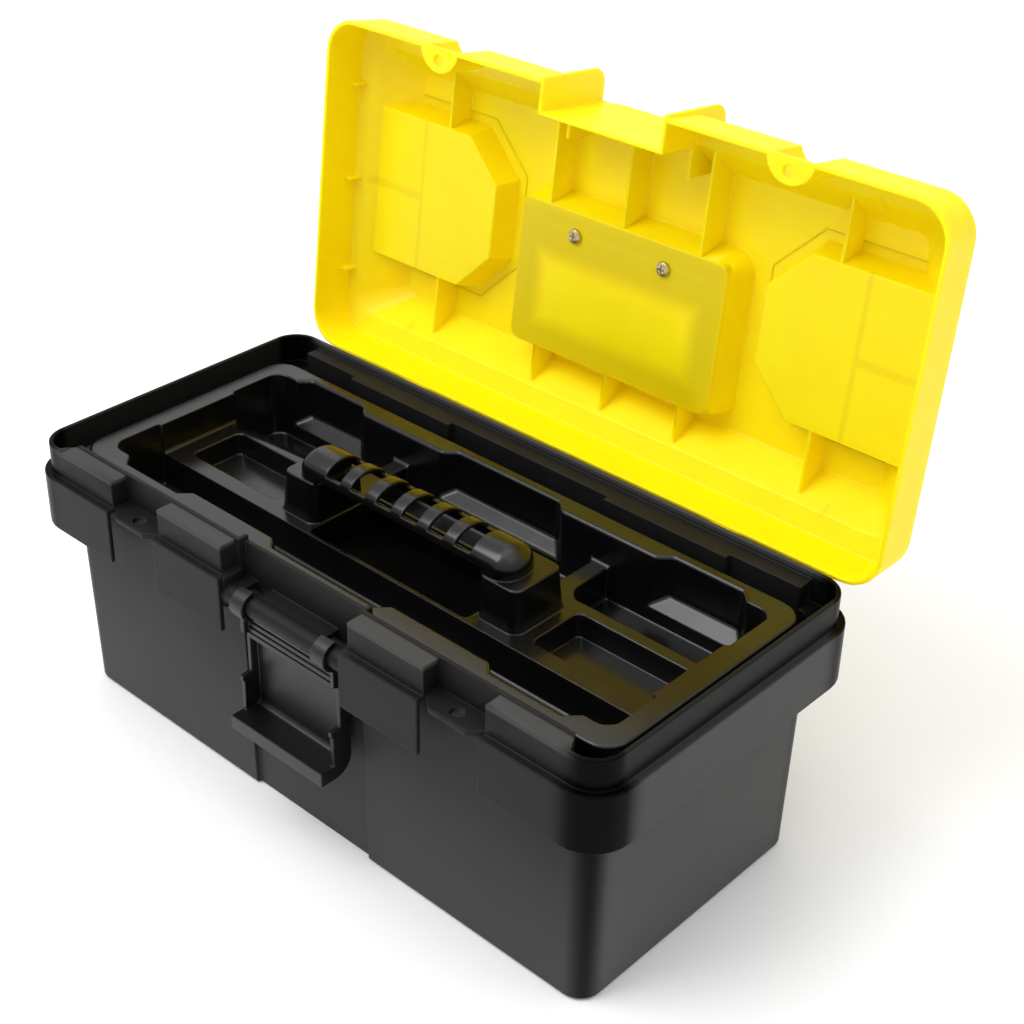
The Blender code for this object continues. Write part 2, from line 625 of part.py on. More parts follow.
def make_screw(side):
    """Pan head inside the lid, shank up through the well floor into the bracket."""
    x, y = side * SCREW_X, HANDLE_AXIS_Y
    radius, height = SCREW_HEAD
    under = LID_BASE + WELL_FLOOR - GAP
    levels = ((arc(x, y, radius * 0.55, 0, 2 * math.pi, 20)[:-1], under - height),
              (arc(x, y, radius * 0.90, 0, 2 * math.pi, 20)[:-1], under - height * 0.72),
              (arc(x, y, radius, 0, 2 * math.pi, 20)[:-1], under - height * 0.30),
              (arc(x, y, radius, 0, 2 * math.pi, 20)[:-1], under))
    screw = loft("screw", levels)
    join(screw, post("shank", x, y, SCREW_SHANK, under - 0.0005, LID_BASE + BRACKET[3] + 0.0075, 12))
    for size in ((0.0022, 0.0004), (0.0004, 0.0022)):
        cut(screw, box("cross", x - size[0], x + size[0], y - size[1], y + size[1],
                       under - height - 0.001, under - height + 0.0013))
    return screw


def make_cover(side):
    """A clear cover that follows the crown and its end slope over a bin, with two hinge lugs and their stub pins."""
    cover = crown_layer("cover", GAP + COVER_WALL)
    cut(cover, crown_layer("under", GAP))
    far = CROWN_FOOT[0] - 0.0030
    outline = bin_outline(side, BIN_DRAFT + 0.0015, far)
    keep(cover, prism("plan", outline, LID_BASE + SHOULDER + 0.0030, LID_BASE + CROWN + 0.02))
    y, z = cover_hinge_y(), cover_hinge_z()
    pads, middle = cover_spans(side)
    for x0, x1 in pads:
        arm = box("arm", x0, x1, BIN_SPAN[1], y, LID_BASE + CROWN + GAP + 0.0003, z)
        join(cover, arm, rod("lug", y, z, 0.0027, x0, x1))
    inner = sorted((pads[0], pads[1]))
    for (x0, x1), tip in ((inner[0], inner[0][1] + 0.0040), (inner[1], inner[1][0] - 0.0040)):
        p0, p1 = sorted(((x0 + x1) / 2, tip))
        join(cover, rod("stub", y, z, COVER_PIN, p0, p1, 12))
    tab_x = side * 0.1420
    front = BIN_SPAN[0] - BIN_DRAFT - 0.0015
    join(cover, box("pull", tab_x - 0.0080, tab_x + 0.0080, front - 0.0040, front + 0.0020,
                    LID_BASE + CROWN + GAP, LID_BASE + CROWN + GAP + COVER_WALL))
    return cover


def crown_layer(name, grow):
    """The crown alone, offset outwards by grow, square to its slopes."""
    rise = CROWN - SHOULDER
    run = CROWN_FOOT[0] - CROWN_TOP[0]
    slide = grow * (math.hypot(rise, run) - run) / rise
    foot = lid_outline(*CROWN_FOOT, slide + grow * run / rise, LID_RADIUS - 0.006)
    top = lid_outline(*CROWN_TOP, slide, LID_RADIUS - 0.010)
    return loft(name, ((foot, LID_BASE + SHOULDER), (top, LID_BASE + CROWN + grow)))


def open_lid_pieces(pieces):
    """Turns pieces that were modelled on the shut lid about its hinge axis."""
    hinge = Vector((0, HINGE_Y, HINGE_Z))
    turn = Matrix.Translation(hinge) @ Matrix.Rotation(-LID_OPEN, 4, "X") @ Matrix.Translation(-hinge)
    for piece in pieces:
        piece.matrix_world = turn @ piece.matrix_world


# ---- front latch -------------------------------------------------------------------------
def latch_side():
    """The side flange in (y, z): a round heel, the lip's end, a hook half way up and a thicker top."""
    lip_front, lip_height = LATCH_LIP
    face = LATCH_Y + LATCH_BAR_RADIUS + CLEAR + LATCH_WALL
    hook = LATCH_Z - LATCH_REACH
    low = hook - lip_height
    heel = arc(face - HEEL_RADIUS, low + HEEL_RADIUS, HEEL_RADIUS, -math.pi / 2, 0, 6)
    out = LATCH_Y - 0.0020
    front = [(out, LATCH_Z), (out, 0.1085), (out + 0.0033, 0.1070), (out + 0.0033, 0.0840), (out - 0.0027, 0.0830),
             (out - 0.0027, 0.0805), (out - 0.0017, 0.0795), (out - 0.0017, hook - 0.002),
             (lip_front + 0.0020, low)]
    return [*heel, (face, LATCH_Z), *front]


def make_latch():
    """Hangs from the bar: clip knuckles, ribbed top, panel between side flanges and the lip that hooks over the lid."""
    bar = LATCH_BAR_RADIUS + CLEAR
    outer = bar + LATCH_WALL
    face = LATCH_Y + outer
    inner_face = face - LATCH_WALL
    hook = LATCH_Z - LATCH_REACH
    lip_front, lip_height = LATCH_LIP
    half = LATCH_HALF
    near, far = LATCH_KNUCKLE
    low = hook - lip_height
    bend = low + HEEL_RADIUS
    latch = box("panel", -half + 0.0012, half - 0.0012, inner_face, face, bend - 0.0001, LATCH_Z - 0.0080)
    heel = arc(face - HEEL_RADIUS, bend, HEEL_RADIUS, -math.pi / 2, 0, 6)
    lip = [*heel, (inner_face, bend), (inner_face - 0.0010, hook + 0.0010), (inner_face - 0.0025, hook),
           (lip_front, hook), (lip_front, low)]
    join(latch, side_prism("lip", lip, -half, half))
    cut(latch, box("lip hollow", -half + LATCH_WALL, half - LATCH_WALL, lip_front + LATCH_WALL,
                   face - HEEL_RADIUS + 0.0020, low - 0.01, hook - LATCH_WALL))
    join(latch, box("ribbed block", -half + 0.0012, half - 0.0012, LATCH_BLOCK[0], inner_face + 0.0004,
                    LATCH_BLOCK[1], LATCH_BLOCK[2]))
    for side in (-1, 1):
        x0, x1 = sorted((side * (half - 0.0024), side * half))
        join(latch, side_prism("side", latch_side(), x0, x1))
        k0, k1 = sorted((side * near, side * far))
        join(latch, rod("knuckle", LATCH_Y, LATCH_Z, outer, k0, k1, 24))
        x0, x1 = sorted((side * (near - 0.002), side * (half + 0.002)))
        cut(latch, rod("clip", LATCH_Y, LATCH_Z, bar, x0, x1, 24))
        cut(latch, box("clip mouth", x0, x1, LATCH_Y + 0.0002, face + 0.001, LATCH_Z + 0.0030, LATCH_Z + 0.02))
    step = (LATCH_BLOCK[2] - LATCH_BLOCK[1]) / LATCH_RIBS
    for i in range(1, LATCH_RIBS):
        z = LATCH_BLOCK[1] + step * i
        cut(latch, box("groove", -half + 0.0024, half - 0.0024, LATCH_BLOCK[0] - 0.001, LATCH_BLOCK[0] + 0.0016,
                       z - 0.0005, z + 0.0005))
    cut(latch, box("slot", -half + 0.0050, half - 0.0050, inner_face - 0.01, face + 0.01,
                   LATCH_BLOCK[1] - 0.0042, LATCH_BLOCK[1]))
    return latch


# ---- tote tray --------------------------------------------------------------------------------
def tray_outline(grow, depth):
    """The tray's wall outline at a depth below its top."""
    half, y0, y1 = TRAY_OPENING
    lean = TRAY_DRAFT * depth / (TRAY_TOP - TRAY_BOTTOM)
    return rounded(-half + lean - grow, half - lean + grow, y0 + lean - grow, y1 - lean + grow, 0.0080 + grow)


def tray_bumps(grow, drop, high):
    """The outward bumps of the two long walls: slanted sides, and a floor that falls inwards."""
    low, back = BUMP_FLOOR
    for x0, x1 in TRAY_BUMPS:
        for y, way in ((TRAY_OPENING[1], -1), (TRAY_OPENING[2], 1)):
            root = y - way * 0.0100
            tip = y + way * (TRAY_BUMP_DEPTH + grow)
            spread = BUMP_SLANT * (tip - root) / (tip - y)
            outline = [(x0 - grow - abs(spread), root), (x1 + grow + abs(spread), root), (x1 + grow, tip),
                       (x0 - grow, tip)]
            bump = prism("bump", outline if way > 0 else outline[::-1], low - 0.004 - drop, high)
            slope = (back - low) / TRAY_BUMP_DEPTH
            fall = slope * (tip - root) * way
            shade = [(root, back - fall - drop), (tip, back - drop), (tip, low - 0.02 - drop), (root, low - 0.02 - drop)]
            yield cut(bump, side_prism("bump floor", shade, x0 - 0.03, x1 + 0.03))


def tray_bowl():
    depth = TRAY_TOP - TRAY_BOTTOM
    tray = loft("tray", ((tray_outline(TRAY_WALL, depth), TRAY_BOTTOM), (tray_outline(TRAY_WALL, 0), TRAY_TOP)))
    join(tray, *tray_bumps(TRAY_WALL, TRAY_WALL, TRAY_TOP - 0.0004))
    half, y0, y1 = TRAY_FLANGE
    rim = prism("flange", rounded(-half, half, y0, y1, 0.0140), LEDGE_TOP + GAP, TRAY_TOP)
    cut(rim, prism("under", rounded(-half + TRAY_WALL, half - TRAY_WALL, y0 + TRAY_WALL, y1 - TRAY_WALL, 0.0120),
                   LEDGE_TOP - 0.001, TRAY_TOP - TRAY_WALL))
    return join(tray, rim)


def compartment(y0, y1):
    """One long compartment, with its bumps, as a solid to cut."""
    half = TRAY_OPENING[0]
    lean = TRAY_DRAFT
    floor = TRAY_BOTTOM + TRAY_WALL
    space = loft("space", ((tray_outline(0, TRAY_TOP - floor), floor), (tray_outline(0, 0), TRAY_TOP),
                           (tray_outline(0, 0), TRAY_TOP + 0.004)))
    join(space, *tray_bumps(0, 0, TRAY_TOP + 0.003))
    low = rounded(-half, half, y0 + lean / 2 if y0 > 0 else y0, y1 - lean / 2 if y1 < 0 else y1, 0.0020)
    top = rounded(-half, half, y0, y1, 0.0020)
    keep(space, loft("part", ((low, floor - 0.001), (top, RIDGE_TOP), (top, TRAY_TOP + 0.01))))
    if y0 > 0:
        cut(space, *bridges())
    return space


def bridges():
    """Two walls as high as the ridge, from the ridge to the back wall, that widen where they leave the ridge."""
    near, far, radius = BRIDGE
    root, back = RIDGE[1] - 0.004, TRAY_OPENING[2] + 0.012
    for side in (-1, 1):
        x0, x1 = sorted((side * near, side * far))
        left = arc(x0 - radius, root + 0.004 + radius, radius, -math.pi / 2, 0, 5)
        right = arc(x1 + radius, root + 0.004 + radius, radius, math.pi, 1.5 * math.pi, 5)
        outline = [(x0 - radius, root), (x1 + radius, root), *reversed(right), (x1, back), (x0, back),
                   *reversed(left)]
        yield prism("bridge", outline, TRAY_BOTTOM - 0.004, RIDGE_TOP)


def side_loft(name, sections):
    """A loft along X through (outline, x) sections, whose outlines are in (y, z)."""
    item = loft(name, sections)
    item.data.transform(Matrix(((0, 0, 1, 0), (1, 0, 0, 0), (0, 1, 0, 0), (0, 0, 0, 1))))
    return item


def grip_dome(side, outline):
    """One end of the grip, from the finger opening to its rounded tip on the pillar."""
    foot = PILLAR_TOP - 0.0005
    sections = []
    for x, share in [(PILLAR[0] + 0.001, 1.0)] + [
            (GRIP_END - GRIP_DOME + GRIP_DOME * math.sin(math.radians(turn)), math.cos(math.radians(turn)))
            for turn in (0, 20, 38, 54, 68, 82)]:
        sections.append(([(GRIP_Y + (y - GRIP_Y) * share, foot + (z - foot) * share) for y, z in outline], x * side))
    return side_loft("dome", sections if side > 0 else sections[::-1])


def tray_handle():
    """Two pillars and a hollow half-round grip with slots across it."""
    x0, x1, y0, y1 = PILLAR
    foot = RIDGE_TOP - 0.0005
    grip_outline = [(GRIP_Y + GRIP_HALF * math.cos(math.pi * i / 10),
                     GRIP_UNDER + (GRIP_TOP - GRIP_UNDER) * math.sin(math.pi * i / 10)) for i in range(11)]
    skirted = [(GRIP_Y + GRIP_HALF, GRIP_UNDER - 0.0020), *grip_outline, (GRIP_Y - GRIP_HALF, GRIP_UNDER - 0.0020)]
    handle = side_prism("grip", skirted, -GRIP_END + GRIP_DOME + 0.001, GRIP_END - GRIP_DOME - 0.001)
    for side in (-1, 1):
        a, b = sorted((side * x0, side * x1))
        low = rounded(a, b, y0, y1, 0.0060, 4)
        lean = 0.0020
        high = rounded(a + (lean if side < 0 else 0), b - (lean if side > 0 else 0), y0 + lean, y1 - lean, 0.0050, 4)
        join(handle, loft("pillar", ((low, foot), (high, PILLAR_TOP))))
        join(handle, grip_dome(side, [(GRIP_Y + GRIP_HALF, PILLAR_TOP - 0.0005), *grip_outline,
                                      (GRIP_Y - GRIP_HALF, PILLAR_TOP - 0.0005)]))
    return handle


def tray_hollows(tray):
    """Hollows below the ridge, the pillars and the grip, all open from below."""
    y0, y1 = RIDGE
    w = TRAY_WALL + 0.0010
    low = TRAY_BOTTOM - 0.001
    for side in (-1, 1):
        x0, x1 = sorted((side * (POCKET[0] - 0.002), side * (TRAY_OPENING[0] - 0.006)))
        cut(tray, box("under pocket", x0, x1, y0 + w, y1 - w, low, POCKET_FLOOR - TRAY_WALL))
        a, b = sorted((side * (PILLAR[0] + 0.0022), side * (PILLAR[1] - 0.0052)))
        cut(tray, box("in pillar", a, b, PILLAR[2] + 0.0055, PILLAR[3] - 0.0055, low, PILLAR_TOP - 0.0010))
    for side in (-1, 1):
        x0, x1 = sorted((side * (FINGER_WELL[0] + 0.0022), side * (POCKET[0] - 0.0045)))
        cut(tray, box("under ridge", x0, x1, y0 + w, y1 - w, low, RIDGE_TOP - TRAY_WALL))
        x0, x1 = sorted((side * (BRIDGE[0] + TRAY_WALL), side * (BRIDGE[1] - TRAY_WALL)))
        cut(tray, box("under bridge", x0, x1, y1 - w - 0.001, TRAY_OPENING[2] - TRAY_DRAFT - 0.001, low,
                      RIDGE_TOP - TRAY_WALL))


def grip_cuts(tray):
    """The finger opening, the hollow of the grip and the slots across it."""
    reach = PILLAR[0]
    cut(tray, box("fingers", -reach, reach, RIDGE[0] - 0.01, RIDGE[1] + 0.01, RIDGE_TOP, GRIP_UNDER - 0.0020))
    thick = 0.0022
    hollow = [(GRIP_Y + (GRIP_HALF - thick) * math.cos(math.pi * i / 10),
               GRIP_UNDER - 0.0004 + (GRIP_TOP - thick - GRIP_UNDER) * math.sin(math.pi * i / 10)) for i in range(11)]
    hollow = [(GRIP_Y + GRIP_HALF - thick, GRIP_UNDER - 0.0030), *hollow,
              (GRIP_Y - GRIP_HALF + thick, GRIP_UNDER - 0.0030)]
    cut(tray, side_prism("grip hollow", hollow, -reach + 0.0005, reach - 0.0005))
    for i in range(SLOTS):
        middle = (i - (SLOTS - 1) / 2) * SLOT_PITCH
        cut(tray, box("slot", middle - SLOT_WIDTH / 2, middle + SLOT_WIDTH / 2, GRIP_Y - GRIP_HALF - 0.001,
                      GRIP_Y + GRIP_HALF + 0.001, GRIP_UNDER + 0.0022, GRIP_TOP + 0.001))


def make_tray():
    tray = tray_bowl()
    cut(tray, compartment(-0.09, RIDGE[0]))
    cut(tray, compartment(RIDGE[1], 0.09))
    ridge_gap = box("over ridge", -TRAY_OPENING[0] + 0.0022, TRAY_OPENING[0] - 0.0022, RIDGE[0] - 0.0005,
                    RIDGE[1] + 0.0005, RIDGE_TOP, TRAY_TOP + 0.02)
    cut(tray, ridge_gap)
    x0, x1, y0, y1 = POCKET
    for side in (-1, 1):
        a, b = sorted((side * x0, side * x1))
        low = rounded(a + 0.002, b - 0.002, y0 + 0.002, y1 - 0.002, 0.0030, 4)
        cut(tray, loft("pocket", ((low, POCKET_FLOOR), (rounded(a, b, y0, y1, 0.0040, 4), RIDGE_TOP + 0.001))))
    half, thick, radius = FINGER_WELL
    front, back = RIDGE[0] + thick, RIDGE[1] - thick
    draft = 0.0010
    cut(tray, loft("finger well", (
        (rounded(-half + draft, half - draft, front + draft, back - draft, radius, 4), TRAY_BOTTOM + TRAY_WALL),
        (rounded(-half, half, front, back, radius, 4), RIDGE_TOP + 0.001))))
    join(tray, tray_handle())
    grip_cuts(tray)
    tray_hollows(tray)
    return tray


# ---- assembly --------------------------------------------------------------------------------------
def main():
    clear_scene()
    black = material("black_plastic", (0.012, 0.012, 0.013), 0.45)
    tray_black = material("tray_plastic", (0.010, 0.010, 0.010), 0.30)
    yellow = material("yellow_plastic", (0.90, 0.62, 0.005), 0.35)
    clear = material("clear_plastic", (0.80, 0.82, 0.80), 0.10, alpha=0.35)
    steel = material("screw_steel", (0.55, 0.50, 0.42), 0.30, 1.0)
    pin_steel = material("pin_steel", (0.50, 0.50, 0.52), 0.35, 1.0)

    make_tub(black)
    hinge = (0, HINGE_Y, HINGE_Z)
    on_lid = [finish(make_lid(yellow), "lid", yellow, hinge)]
    handle_axis = (0, HANDLE_AXIS_Y, LID_BASE + HANDLE_AXIS)
    on_lid.append(finish(make_carry_handle(), "carry_handle", black, handle_axis))
    on_lid.append(finish(make_bracket(), "handle_bracket", black, handle_axis))
    for side, word in ((-1, "left"), (1, "right")):
        on_lid.append(finish(make_screw(side), f"handle_screw_{word}", steel, handle_axis))
        on_lid.append(finish(make_cover(side), f"bin_cover_{word}", clear, (0, cover_hinge_y(), cover_hinge_z())))
        pin = rod("pin", HINGE_Y, HINGE_Z, HINGE_PIN_RADIUS, side * HINGE_X - 0.0185, side * HINGE_X + 0.0185)
        finish(pin, f"hinge_pin_{word}", pin_steel, hinge)
    bpy.context.view_layer.update()
    open_lid_pieces(on_lid)
    finish(make_latch(), "front_latch", black, (0, LATCH_Y, LATCH_Z))
    finish(make_tray(), "tote_tray", tray_black)


main()
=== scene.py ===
"""Looks of an open plastic toolbox with its lift-out tote tray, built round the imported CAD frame."""

import json
import math

import bpy
import bmesh
from mathutils import Euler, Matrix, Vector
from mathutils.geometry import intersect_line_line_2d, intersect_point_line


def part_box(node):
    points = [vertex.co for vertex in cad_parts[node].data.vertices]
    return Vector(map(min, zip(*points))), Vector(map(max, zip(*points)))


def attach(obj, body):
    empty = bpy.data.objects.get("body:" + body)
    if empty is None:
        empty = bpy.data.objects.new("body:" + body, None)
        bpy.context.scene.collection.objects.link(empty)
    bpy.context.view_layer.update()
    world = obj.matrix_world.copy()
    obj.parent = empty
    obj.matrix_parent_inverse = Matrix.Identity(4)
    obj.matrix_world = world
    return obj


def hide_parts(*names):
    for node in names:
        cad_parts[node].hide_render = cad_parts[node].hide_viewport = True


bl_info = {
    "name": "Toolbox With Tray",
    "version": (1, 0, 0),
    "blender": (4, 5, 0),
    "location": "View3D > Sidebar > Toolbox",
    "description": "Finishes the packed toolbox with moulded edges, small details, plastics and metals",
    "category": "Object",
}

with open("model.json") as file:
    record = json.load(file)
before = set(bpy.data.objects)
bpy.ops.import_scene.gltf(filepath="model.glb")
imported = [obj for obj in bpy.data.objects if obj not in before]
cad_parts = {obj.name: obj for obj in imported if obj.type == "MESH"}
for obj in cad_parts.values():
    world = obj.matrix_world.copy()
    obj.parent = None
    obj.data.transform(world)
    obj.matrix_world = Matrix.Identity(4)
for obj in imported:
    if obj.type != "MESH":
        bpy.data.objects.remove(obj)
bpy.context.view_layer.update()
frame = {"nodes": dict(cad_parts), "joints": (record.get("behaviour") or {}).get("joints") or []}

# The lid's hinge line, along its pins, and how far round it the lid turns from shut to open.
PIN_LOW, PIN_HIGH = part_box("hinge_pin_left")
HINGE = Vector((0, (PIN_LOW.y + PIN_HIGH.y) / 2, (PIN_LOW.z + PIN_HIGH.z) / 2))
LID_RANGE = {joint["name"]: joint for joint in frame["joints"]}["lid_hinge"]["range_deg"]
LID_OPEN = math.radians(LID_RANGE[0])

# Moulded edges, worked out from the CAD meshes.
MERGE_DISTANCE = 0.00001
FLAT_ANGLE = math.radians(0.6)      # faces that meet at less are one face
SHARP_ANGLE = math.radians(30)      # edges that turn more are rounded
CREASE_ANGLE = math.radians(38)     # edges that still turn more are shaded as creases
LEAST_RADIUS = 0.00012              # an edge with room for less stays sharp
ROOM_SHARE = 2.2                    # how many radii of room an edge needs
ROUNDING_TRIES = 4
NEAR_CROSSING = 1.5                 # radii from a crossing within which edges are rounded less
FEWEST_TO_CROSS = 6                 # corners that an outline needs before it is tested for crossings

# In this group and the next three, a pair of lengths is where a change of finish starts and where it is
# complete: from the middle of the box or from the ground, except where another start is named beside it.
# The tub's upright corners, the walls and ends where light is painted on, the tops of its front blocks with
# their painted highlight, and its rim.
CORNER_X = (0.1700, 0.1840)
CORNER_Y = (0.0640, 0.0790)
WALL_FLOOR_LIGHT = (0.110, 0.010)
BODY_END = (0.1800, 0.1836)
BLOCK_TOP = (0.1500, 0.1518)
BLOCK_BACK = (0.0822, 0.0836)
RIM_FOOT = (0.1368, 0.1380)
RIM_END = (0.1900, 0.1935)

# The deep finger well under the tray's grip, where shade is painted by taking away its gloss, so that it
# shows no reflection.
FINGER_WELL_X = (0.0575, 0.0560)
FINGER_WELL_Y = (0.0260, 0.0250)
FINGER_WELL_TOP = (0.1265, 0.1240)

# The handle well on the shut lid, and the black handle and bracket behind its floor, whose shade is painted
# on the floor.
WELL_MIDDLE_Y = 0.0170
WELL_END_X = (0.0700, 0.0680)
WELL_END_Y = (0.0420, 0.0400)       # from WELL_MIDDLE_Y
HANDLE_SIDE = (0.0450, 0.0590)
HANDLE_REAR = (0.0190, 0.0330)      # from WELL_MIDDLE_Y
HANDLE_BAR_Y = -0.0060
HANDLE_BAR = (0.0180, 0.0040)       # from HANDLE_BAR_Y

# The floors of the bins and the well on the shut lid, and the dividers behind the bins' floors.
FLOOR_MIDDLE_Z = 0.1683
FLOOR_BAND = (0.0034, 0.0026)       # from FLOOR_MIDDLE_Z
DIVIDER_X = 0.1475
DIVIDER_LINE = (0.0024, 0.0004)     # from DIVIDER_X
CROSS_DIVIDER_LINE = (0.0034, 0.0012)
CROSS_DIVIDER_START = (0.1470, 0.1480)

# The line of the cover's seat round the right bin, on the shut lid.
BIN_INNER = 0.0915
BIN_SPAN = (-0.0445, 0.0435)
BIN_CORNER = 0.0230
SEAT_OUT = 0.0083                   # from the bin's floor outline to the seat line
SEAT_END = 0.1665
SEAT_CORNER_GROWTH = 0.4            # how much a cut corner grows for each length that its sides move out
SEAT_HEIGHT = 0.0006
SEAT_SUNK = 0.0002                  # how deep the line is set into the crown, so that no gap shows
SEAT_ROUNDING = 0.28                # radius of the line's edges, as a share of its width
CROWN_INSIDE = 0.1855               # height of the crown's inner face

# The camera's place in metres, its turn in degrees, and its lens and sensor in millimetres.
CAMERA_PLACE = (0.55055, -0.54454, 0.63297)
CAMERA_TURN = (58.9634, -0.63277, 43.34894)
CAMERA_LENS = 64.04
CAMERA_SENSOR = 36
CAMERA_SHIFT = (0.0273, -0.0261)
CAMERA_NEAREST = 0.01

# Name, place in metres, power in watts and side in metres. All of them face the middle of the box.
SOFTBOXES = (
    ("front_left_softbox", (-0.6, -1.0, 1.8), 23, 1.2),
    ("right_high_softbox", (1.2, 0.2, 1.4), 2, 1.2),
    ("top_softbox", (0, 0.1, 1.9), 5, 1.4),
    ("back_left_softbox", (-1.2, 1.2, 1.2), 2.5, 1.2),
)
LIT_POINT = Vector((0, 0, 0.1))
WORLD_LIGHT = (0.62, 0.55)          # at the horizon, and what is added straight above
FLOOR_SIZE = 40
FLOOR_DROP = 0.0003                 # how far the floor lies below the tub, so that the two don't coincide

# The sockets of a Mix node's colours, which share their names with others: the two inputs and the result.
MIX_BELOW, MIX_ABOVE, MIX_COLOUR = 6, 7, 2


# ---- values a user would change ----------------------------------------------
def colour_property(name, code, about):
    channels = [int(code[i:i + 2], 16) / 255 for i in (1, 3, 5)]
    return bpy.props.FloatVectorProperty(name=name, description=about, subtype="COLOR_GAMMA", size=3,
                                         min=0, max=1, default=channels)


def length_property(name, metres, about):
    return bpy.props.FloatProperty(name=name, description=about, unit="LENGTH", subtype="DISTANCE",
                                   min=0, default=metres, precision=5)


class ToolboxSizes(bpy.types.PropertyGroup):
    """Edge radii and small mouldings."""
    tub_edge: length_property("Tub edge", 0.0007, "Radius on the tub's moulded edges")
    lid_edge: length_property("Lid edge", 0.0008, "Radius on the lid's moulded edges")
    tray_edge: length_property("Tray edge", 0.0022, "Radius on the tray's wide edges and floor corners")
    handle_edge: length_property("Handle edge", 0.0015, "Radius on the carry handle's edges")
    small_edge: length_property("Small edge", 0.0005, "Radius on the edges of latch, bracket and covers")
    metal_edge: length_property("Metal edge", 0.0003, "Radius on the edges of screws and hinge pins")
    seat_width: length_property("Seat line", 0.0009, "Width of the cover seat lines round the bins")


class ToolboxColours(bpy.types.PropertyGroup):
    """Colours of the plastics, metals and floor, as sRGB."""
    tub: colour_property("Tub", "#161616", "Textured black polypropylene")
    tray: colour_property("Tray", "#070707", "Glossy black polypropylene")
    lid: colour_property("Lid", "#FFE600", "Translucent yellow polypropylene")
    # Painted shade: the lid's colour where black parts behind it keep light from coming through.
    lid_shaded: colour_property("Lid shaded", "#D2BE00", "The lid where black parts lie behind it")
    cover: colour_property("Covers", "#E4E8E6", "Clear polystyrene")
    screw: colour_property("Screws", "#C9B98E", "Yellow-passivated zinc")
    pin: colour_property("Pins", "#A9ABAD", "Bright drawn steel")
    floor: colour_property("Floor", "#FAFAFA", "Studio floor")


# ---- helpers for materials ---------------------------------------------------
def linear(channels):
    """sRGB channels from 0 to 1, as linear RGBA."""
    return (*[c / 12.92 if c <= 0.04045 else ((c + 0.055) / 1.055) ** 2.4 for c in channels], 1.0)


def shade(channels, factor):
    """The same colour, lighter or darker, as sRGB channels."""
    return [min(1.0, c * factor) for c in channels]


def node(tree, kind, inputs=None, **settings):
    """Adds one node. Each input, by name or number, takes a value or the (node, output) that feeds it."""
    made = tree.nodes.new(kind)
    for name, value in settings.items():
        setattr(made, name, value)
    for name, value in (inputs or {}).items():
        if isinstance(value, tuple) and isinstance(value[0], bpy.types.Node):
            source, output = value
            tree.links.new(source.outputs[output], made.inputs[name])
        else:
            made.inputs[name].default_value = value
    return made


def object_place(tree):
    """The point on the object, as a (node, output) pair."""
    return node(tree, "ShaderNodeTexCoord"), "Object"


def axes(tree, vector):
    """The X, Y and Z of a vector, each as a (node, output) pair."""
    parts = node(tree, "ShaderNodeSeparateXYZ", {"Vector": vector})
    return [(parts, axis) for axis in "XYZ"]


def mottle(tree, millimetres, stretch=(1, 1, 1), detail=2.0, roughness=0.5):
    """An uneven pattern over the object whose features are about that many millimetres across."""
    place = node(tree, "ShaderNodeMapping", {"Vector": object_place(tree), "Scale": stretch})
    made = node(tree, "ShaderNodeTexNoise", {"Vector": (place, "Vector"), "Scale": 1000 / millimetres,
                                             "Detail": detail, "Roughness": roughness})
    return made, "Fac"


def layered(tree, tone, *layers):
    """A colour with others laid over it in order, each an (amount, sRGB channels) pair."""
    for amount, channels in layers:
        over = node(tree, "ShaderNodeMix", {"Factor": amount, MIX_BELOW: tone, MIX_ABOVE: linear(channels)},
                    data_type="RGBA")
        tone = over, MIX_COLOUR
    return tone


def two_tones(tree, pattern, low, high, dark, light):
    """A colour that goes from dark to light, both sRGB, while a pattern goes from low to high."""
    share = node(tree, "ShaderNodeMapRange", {"Value": pattern, "From Min": low, "From Max": high})
    return layered(tree, linear(dark), ((share, "Result"), light))


def fading(tree, value, start, end):
    """A mask that goes smoothly from 0, where the value's size is start, to 1, where it is end."""
    size = node(tree, "ShaderNodeMath", {0: value}, operation="ABSOLUTE")
    step = node(tree, "ShaderNodeMapRange", {"Value": (size, "Value"), "From Min": start, "From Max": end},
                interpolation_type="SMOOTHSTEP")
    return step, "Result"


def combined(tree, operation, *masks):
    """Masks and numbers joined: MULTIPLY keeps what all of them cover, and MAXIMUM what any of them does."""
    result = masks[0]
    for mask in masks[1:]:
        result = node(tree, "ShaderNodeMath", {0: result, 1: mask}, operation=operation), "Value"
    return result


def relief(tree, edge_radius, *layers):
    """The normal of a surface with softened edges, raised by each (pattern, strength, depth) in turn."""
    normal = node(tree, "ShaderNodeBevel", {"Radius": edge_radius}, samples=4), "Normal"
    for pattern, strength, depth in layers:
        bump = node(tree, "ShaderNodeBump",
                    {"Height": pattern, "Normal": normal, "Strength": strength, "Distance": depth})
        normal = bump, "Normal"
    return normal


def surface(tree, inputs):
    """Ends a material with a shader that has these inputs."""
    shader = node(tree, "ShaderNodeBsdfPrincipled", inputs)
    node(tree, "ShaderNodeOutputMaterial", {"Surface": (shader, "BSDF")})


